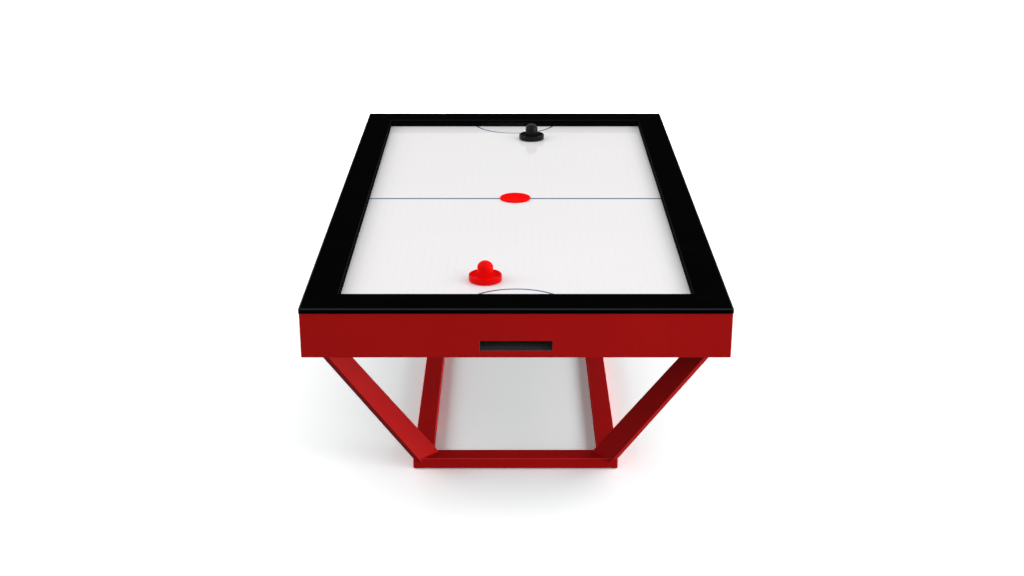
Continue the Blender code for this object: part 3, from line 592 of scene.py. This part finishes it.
def arc(centre, radius, start, end, steps):
    """Points on an arc, with angles in degrees."""
    angles = [radians(start + (end - start) * step / steps) for step in range(steps + 1)]
    return [(centre[0] + radius * cos(a), centre[1] + radius * sin(a)) for a in angles]


def hexagon_reach(angle):
    """How far a hexagon with corners at radius 1 reaches at an angle."""
    within = (angle + pi / 6) % (pi / 3) - pi / 6
    return cos(pi / 6) / cos(pi / 6 - abs(within))


def turned_mesh(name, profile, steps, hexagons=()):
    """Turns (radius, height) points about Z. The points numbered in hexagons make hexagons."""
    shape = bmesh.new()
    rings = []
    for number, (radius, height) in enumerate(profile):
        if radius == 0:
            rings.append([shape.verts.new((0.0, 0.0, height))])
            continue
        verts = []
        for step in range(steps):
            angle = 2 * pi * step / steps
            reach = radius * (hexagon_reach(angle) if number in hexagons else 1.0)
            verts.append(shape.verts.new((reach * cos(angle), reach * sin(angle), height)))
        rings.append(verts)
    for upper, lower in zip(rings, rings[1:]):
        for step in range(steps):
            after = (step + 1) % steps
            corners = [
                upper[step % len(upper)],
                lower[step % len(lower)],
                lower[after % len(lower)],
                upper[after % len(upper)],
            ]
            shape.faces.new(list(dict.fromkeys(corners)))
    bmesh.ops.recalc_face_normals(shape, faces=shape.faces)
    mesh = bpy.data.meshes.new(name)
    shape.to_mesh(mesh)
    shape.free()
    mesh.shade_smooth()
    mesh.set_sharp_from_angle(angle=SHARP_ANGLE)
    return mesh


def place_of(node):
    """The middle of a node's footprint, and its lowest and highest levels."""
    low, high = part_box(node)
    return (low.x + high.x) / 2, (low.y + high.y) / 2, low.z, high.z


def build_puck():
    """A flat disc with rounded rims, a fine step inside the rim and a slight hollow in the middle."""
    x, y, low, high = place_of("puck")
    box_low, box_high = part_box("puck")
    radius, thick = (box_high.x - box_low.x) / 2, high - low
    rim = PUCK_ROUND
    band = radius - PUCK_BAND
    dish = band - PUCK_BAND_SLOPE
    profile = [(0, thick - PUCK_DISH), (dish, thick - PUCK_DISH), (band, thick)]
    profile += arc((radius - rim, thick - rim), rim, 90, 0, 6)
    profile += arc((radius - rim, rim), rim, 0, -90, 6)
    profile += [(band, 0), (dish, PUCK_DISH), (0, PUCK_DISH)]
    mesh = turned_mesh("puck_disc", profile, TURN_STEPS)
    add_piece("puck_disc", mesh, "puck", "puck_red", at=(x, y, low), replaces=["puck"])


def mallet_profile(radius, height):
    """A domed knob in a trough with a raised lip round it, from the top of the knob down."""
    lip = MALLET_LIP_THICK / 2
    crown = height - MALLET_DOME
    trough_out = radius - MALLET_LIP_THICK
    fillet = MALLET_FILLET
    profile = [(0, height)]
    dome = arc((0, 0), 1, 90, 0, 20)[1:]
    profile += [(MALLET_KNOB * across, crown + MALLET_DOME * up) for across, up in dome]
    profile += arc((MALLET_KNOB + fillet, MALLET_TROUGH + fillet), fillet, 180, 270, 6)
    profile += arc((trough_out - fillet, MALLET_TROUGH + fillet), fillet, 270, 360, 6)
    profile += arc((radius - lip, MALLET_LIP - lip), lip, 180, 0, 14)
    profile += arc((radius - MALLET_FOOT, MALLET_FOOT), MALLET_FOOT, 0, -90, 5)
    profile.append((0, 0))
    return profile


def build_mallets():
    """A red mallet at the near end and a black one at the far end, each on a felt pad."""
    for end in ENDS:
        slot = "mallet_red" if end == "near" else "mallet_black"
        body = f"mallet_{end}"
        x, y, low, high = place_of(body)
        box_low, box_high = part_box(body)
        profile = mallet_profile((box_high.x - box_low.x) / 2, high - low)
        mesh = turned_mesh(f"mallet_shell_{end}", profile, TURN_STEPS)
        add_piece(f"mallet_shell_{end}", mesh, body, slot, at=(x, y, low), replaces=[body])
        felt = f"mallet_felt_{end}"
        x, y, low, high = place_of(felt)
        box_low, box_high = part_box(felt)
        radius, thick = (box_high.x - box_low.x) / 2, high - low
        profile = [(0, thick)] + arc((radius - thick / 2, thick / 2), thick / 2, 90, -90, 6) + [(0, 0)]
        mesh = turned_mesh(f"felt_pad_{end}", profile, TURN_STEPS)
        add_piece(f"felt_pad_{end}", mesh, body, "felt_grey", at=(x, y, low), replaces=[felt])


def line_of_holes(low, high, count):
    """The line of air holes that runs between two cuts of the board, or None."""
    line = round((low + high) / 2 / HOLE_PITCH) * HOLE_PITCH
    drilled = low < line < high and abs(line) < count / 2 * HOLE_PITCH
    return line if drilled else None


def drill(board, corners, x, y, top):
    """Fills a square of the board's top round a blind eight-sided hole."""
    turns = [(number + 0.5) * pi / 4 for number in range(8)]
    edge = [(x + HOLE_RADIUS * cos(turn), y + HOLE_RADIUS * sin(turn)) for turn in turns]
    rim = [board.verts.new((*point, top)) for point in edge]
    foot = [board.verts.new((*point, top - HOLE_DEPTH)) for point in edge]
    for number, corner in enumerate(corners):
        before, here, after = ((4 + 2 * number + step) % 8 for step in range(3))
        board.faces.new([rim[before], corner, rim[here]])
        board.faces.new([corner, corners[(number + 1) % 4], rim[after], rim[here]])
    walls = [board.faces.new(foot)]
    for number in range(8):
        after = (number + 1) % 8
        walls.append(board.faces.new([rim[number], rim[after], foot[after], foot[number]]))
    # Painted shade: the hole's floor and walls take the dark fibreboard.
    for wall in walls:
        wall.material_index = HOLE_SHADE_INDEX


def build_playfield():
    """The board again, cut into a grid of squares with an air hole in each one."""
    low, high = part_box("playfield")
    notch_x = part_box("goal_chute_near")[1].x + CAD_GAP
    notch_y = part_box("rail_core_far_left")[0].y - CAD_GAP
    columns = [(number - HOLE_COLUMNS / 2) * HOLE_PITCH for number in range(HOLE_COLUMNS + 1)]
    rows = [(number - HOLE_ROWS / 2) * HOLE_PITCH for number in range(HOLE_ROWS + 1)]
    xs = sorted([low.x, high.x, -notch_x, notch_x] + columns)
    ys = sorted([low.y, high.y, -notch_y, notch_y] + rows)
    board = bmesh.new()
    top, bottom, cells = {}, {}, set()
    for column, x in enumerate(xs):
        for row, y in enumerate(ys):
            top[column, row] = board.verts.new((x, y, high.z))
            bottom[column, row] = board.verts.new((x, y, low.z))
    for column in range(len(xs) - 1):
        for row in range(len(ys) - 1):
            middle_x = (xs[column] + xs[column + 1]) / 2
            middle_y = (ys[row] + ys[row + 1]) / 2
            if abs(middle_x) > notch_x or abs(middle_y) < notch_y:
                cells.add((column, row))
    for column, row in sorted(cells):
        keys = [(column, row), (column + 1, row), (column + 1, row + 1), (column, row + 1)]
        corners = [top[key] for key in keys]
        board.faces.new([bottom[key] for key in reversed(keys)])
        x = line_of_holes(xs[column], xs[column + 1], HOLE_COLUMNS)
        y = line_of_holes(ys[row], ys[row + 1], HOLE_ROWS)
        if x is None or y is None:
            board.faces.new(corners)
        else:
            drill(board, corners, x, y, high.z)
        beside = [(column, row - 1), (column + 1, row), (column, row + 1), (column - 1, row)]
        for number, neighbour in enumerate(beside):
            if neighbour not in cells:
                start, end = keys[number], keys[(number + 1) % 4]
                edge = board.faces.new([bottom[start], bottom[end], top[end], top[start]])
                edge.material_index = HOLE_SHADE_INDEX
    loose = [vert for vert in board.verts if not vert.link_faces]
    bmesh.ops.delete(board, geom=loose, context="VERTS")
    mesh = bpy.data.meshes.new("playfield_board")
    board.to_mesh(mesh)
    board.free()
    finishes = [FINISHES["field_white"], HOLE_SHADE_FINISH]
    add_piece("playfield_board", mesh, "table", "field_white", finishes, replaces=["playfield"])


# ---------------------------------------------------------------- welds and fasteners


def bead(name, corners, closed):
    """A rippled weld along straight runs between corners."""
    ends = corners[1:] + corners[:1] if closed else corners[1:]
    places = []
    for start, end in zip(corners, ends):
        steps = max(1, round((end - start).length / BEAD_STEP))
        places += [start.lerp(end, step / steps) for step in range(steps)]
    if not closed:
        places.append(corners[-1])
    curve = bpy.data.curves.new(name, "CURVE")
    curve.dimensions = "3D"
    curve.bevel_depth = BEAD_RADIUS
    curve.bevel_resolution = 1
    curve.use_fill_caps = True
    spline = curve.splines.new("POLY")
    spline.points.add(len(places) - 1)
    for number, (point, place) in enumerate(zip(spline.points, places)):
        point.co = (*place, 1.0)
        swell = abs(sin(pi * number * BEAD_STEP / BEAD_RIPPLE))
        point.radius = BEAD_THINNEST + (1 - BEAD_THINNEST) * swell
    spline.use_cyclic_u = closed
    add_piece(name, curve, "table", "base_red", [WELD_FINISH])


def build_leg_welds():
    """Beads round each leg's top, under its plate, and round its foot, over the ring's corner."""
    for end, toward in ENDS.items():
        for side, across in SIDES.items():
            along = Vector((across, toward, 0)).normalized()
            aside = Vector((-toward, across, 0)).normalized()
            leg = f"leg_{end}_{side}"
            ring_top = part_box(f"base_tube_{end}")[1].z
            for level, where in ((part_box(leg)[1].z, "top"), (ring_top + CAD_GAP, "foot")):
                verts = frame["nodes"][leg].data.vertices
                here = [vert.co for vert in verts if abs(vert.co.z - level) < SAME_LEVEL]
                spread = [place.dot(aside) for place in here]
                left, right = min(spread), max(spread)
                edge = [place.dot(along) for place in here if place.dot(aside) > right - SAME_SIDE]
                inner, outer = min(place.dot(along) for place in here), max(edge)
                flat = Vector((0, 0, level))
                corners = [
                    along * outer + aside * left + flat,
                    along * inner + aside * left + flat,
                    along * inner + aside * right + flat,
                    along * outer + aside * right + flat,
                ]
                if where == "foot":
                    drop = Vector((0, 0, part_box(leg)[0].z - level))
                    corners = [corners[0] + drop] + corners + [corners[3] + drop]
                bead(f"weld_{where}_{end}_{side}", corners, closed=where == "top")


def screw_profile(radius, height, socket, washer):
    """A socket screw's domed head on its washer, hanging down from height 0."""
    dome = (radius**2 + height**2) / (2 * height)
    middle = (0, dome - height - washer)
    lip, rim = (degrees(asin(reach / dome)) - 90 for reach in (socket * SOCKET_LIP, radius))
    floor = -washer - height * SOCKET_DEPTH_SHARE
    profile = [(0, floor), (socket, floor), (socket, SOCKET_CHAMFER - height - washer)]
    profile += arc(middle, dome, lip, rim, 6)
    spread = radius * WASHER_SPREAD
    profile += [(spread, -washer), (spread, 0), (0, 0)]
    return profile


def build_screws(name, places, screw):
    """One piece of many screws, each with a six-sided socket in its head."""
    single = turned_mesh(name, screw_profile(**screw), SCREW_STEPS, hexagons=(1, 2))
    shape = bmesh.new()
    for place in places:
        copy = single.copy()
        copy.transform(Matrix.Translation(place))
        shape.from_mesh(copy)
        bpy.data.meshes.remove(copy)
    mesh = bpy.data.meshes.new(name)
    shape.to_mesh(mesh)
    shape.free()
    mesh.shade_smooth()
    mesh.set_sharp_from_angle(angle=SHARP_ANGLE)
    add_piece(name, mesh, "table", "fan_steel")


def build_fasteners():
    """Bolts through the leg plates, and screws round the grille, the inlet and the bottom panel."""
    for end in ENDS:
        for side in SIDES:
            low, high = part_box(f"leg_plate_{end}_{side}")
            xs = (low.x + LEG_BOLT_INSET, high.x - LEG_BOLT_INSET)
            ys = (low.y + LEG_BOLT_INSET, high.y - LEG_BOLT_INSET)
            places = [(x, y, low.z) for x in xs for y in ys]
            build_screws(f"leg_bolts_{end}_{side}", places, LEG_BOLT)
    low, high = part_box("intake_grille")
    reach = (high.x - GRILLE_SCREW_INSET) / sqrt(2)
    places = [(x, y, low.z) for x in (-reach, reach) for y in (-reach, reach)]
    build_screws("grille_screws", places, GRILLE_SCREW)
    low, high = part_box("power_inlet")
    middle_x, middle_y = (low.x + high.x) / 2, (low.y + high.y) / 2
    places = [(middle_x + reach, middle_y, low.z) for reach in (-INLET_SCREW_REACH, INLET_SCREW_REACH)]
    build_screws("inlet_screws", places, INLET_SCREW)
    low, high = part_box("bottom_panel")
    x, y = high.x - PANEL_SCREW_INSET, high.y - PANEL_SCREW_INSET
    places = []
    for sign in (-1, 1):
        places += [(sign * x, step * PANEL_SCREW_STEP_Y, low.z) for step in range(-3, 4)]
        places += [(step * PANEL_SCREW_STEP_X, sign * y, low.z) for step in range(-2, 3)]
    build_screws("panel_screws", places, PANEL_SCREW)


def build_inlet_contacts():
    """Metal blades over the inlet's three moulded pins."""
    low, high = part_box("power_inlet")
    middle_x, middle_y = (low.x + high.x) / 2, (low.y + high.y) / 2
    shape = bmesh.new()
    for x, y in INLET_PINS:
        place = (middle_x + x, middle_y + y, low.z + INLET_PIN_DEPTH)
        size = (*INLET_PIN_SIZE, INLET_PIN_LENGTH)
        turn = Matrix.Translation(place) @ Matrix.Diagonal((*size, 1.0))
        blade = bmesh.ops.create_cube(shape, size=1.0, matrix=turn)
        tips = {edge for vert in blade["verts"] for edge in vert.link_edges}
        bmesh.ops.bevel(shape, geom=list(tips), offset=INLET_PIN_ROUND, segments=2, affect="EDGES")
    mesh = bpy.data.meshes.new("inlet_contacts")
    shape.to_mesh(mesh)
    shape.free()
    add_piece("inlet_contacts", mesh, "table", "fan_steel")


# ---------------------------------------------------------------- stage, light and camera


def build_floor():
    """A pale floor that can be looked through from below."""
    half = FLOOR_SIZE / 2
    shape = bmesh.new()
    bmesh.ops.create_grid(shape, x_segments=1, y_segments=1, size=half)
    mesh = bpy.data.meshes.new("studio_floor")
    shape.to_mesh(mesh)
    shape.free()
    floor = bpy.data.objects.new("studio_floor", mesh)
    bpy.context.scene.collection.objects.link(floor)
    material = bpy.data.materials.new("studio_white")
    material.use_nodes = True
    tree = material.node_tree
    tree.nodes.clear()
    recipe = Recipe(tree)
    white = recipe.node("ShaderNodeBsdfDiffuse", {"Color": rgb(*FLOOR_WHITE)})
    clear = recipe.node("ShaderNodeBsdfTransparent")
    below = recipe.node("ShaderNodeNewGeometry").outputs["Backfacing"]
    inputs = {0: below, 1: white.outputs[0], 2: clear.outputs[0]}
    mixed = recipe.node("ShaderNodeMixShader", inputs)
    output = recipe.node("ShaderNodeOutputMaterial")
    recipe.feed(output.inputs["Surface"], mixed.outputs[0])
    mesh.materials.append(material)
    floor.visible_diffuse = False
    floor.visible_glossy = False


def build_sky():
    """An even white studio dome. The camera sees it as plain white."""
    world = bpy.data.worlds.new("studio_sky")
    bpy.context.scene.world = world
    world.use_nodes = True
    world.node_tree.nodes.clear()
    sky = Recipe(world.node_tree)
    direction = sky.node("ShaderNodeTexCoord").outputs["Generated"]
    height = sky.node("ShaderNodeSeparateXYZ", {"Vector": direction}).outputs[2]
    level = sky.remap(height, -SKY_FADE, 0.0, SKY_BELOW, SKY_LEVEL)
    seen = sky.node("ShaderNodeLightPath").outputs["Is Camera Ray"]
    colour = sky.blend(seen, level, rgb(1.0, 1.0, 1.0))
    light = sky.node("ShaderNodeBackground", {"Color": colour, "Strength": 1.0})
    output = sky.node("ShaderNodeOutputWorld")
    sky.feed(output.inputs["Surface"], light.outputs[0])


def build_light():
    """The studio dome and softboxes, seen through a plain view transform."""
    build_sky()
    for name, box in SOFTBOXES.items():
        data = bpy.data.lights.new(name, "AREA")
        data.shape = "RECTANGLE"
        data.size, data.size_y = box["size"]
        data.energy = box["power"]
        lamp = bpy.data.objects.new(name, data)
        lamp.location = box["at"]
        toward = Vector(box["aim"]) - lamp.location
        lamp.rotation_euler = toward.to_track_quat("-Z", "Y").to_euler()
        bpy.context.scene.collection.objects.link(lamp)
        lamp.visible_glossy = name != UNMIRRORED_SOFTBOX
    bpy.context.scene.view_settings.view_transform = "Standard"


def build_camera():
    data = bpy.data.cameras.new("camera")
    data.sensor_width = CAMERA_SENSOR
    data.lens = CAMERA_LENS
    camera = bpy.data.objects.new("camera", data)
    camera.location = CAMERA_AT
    camera.rotation_euler = (CAMERA_TILT, 0, 0)
    bpy.context.scene.collection.objects.link(camera)
    bpy.context.scene.camera = camera


build_camera()
build_light()
build_floor()
finish_nodes()
build_playfield()
build_puck()
build_mallets()
build_leg_welds()
build_fasteners()
build_inlet_contacts()
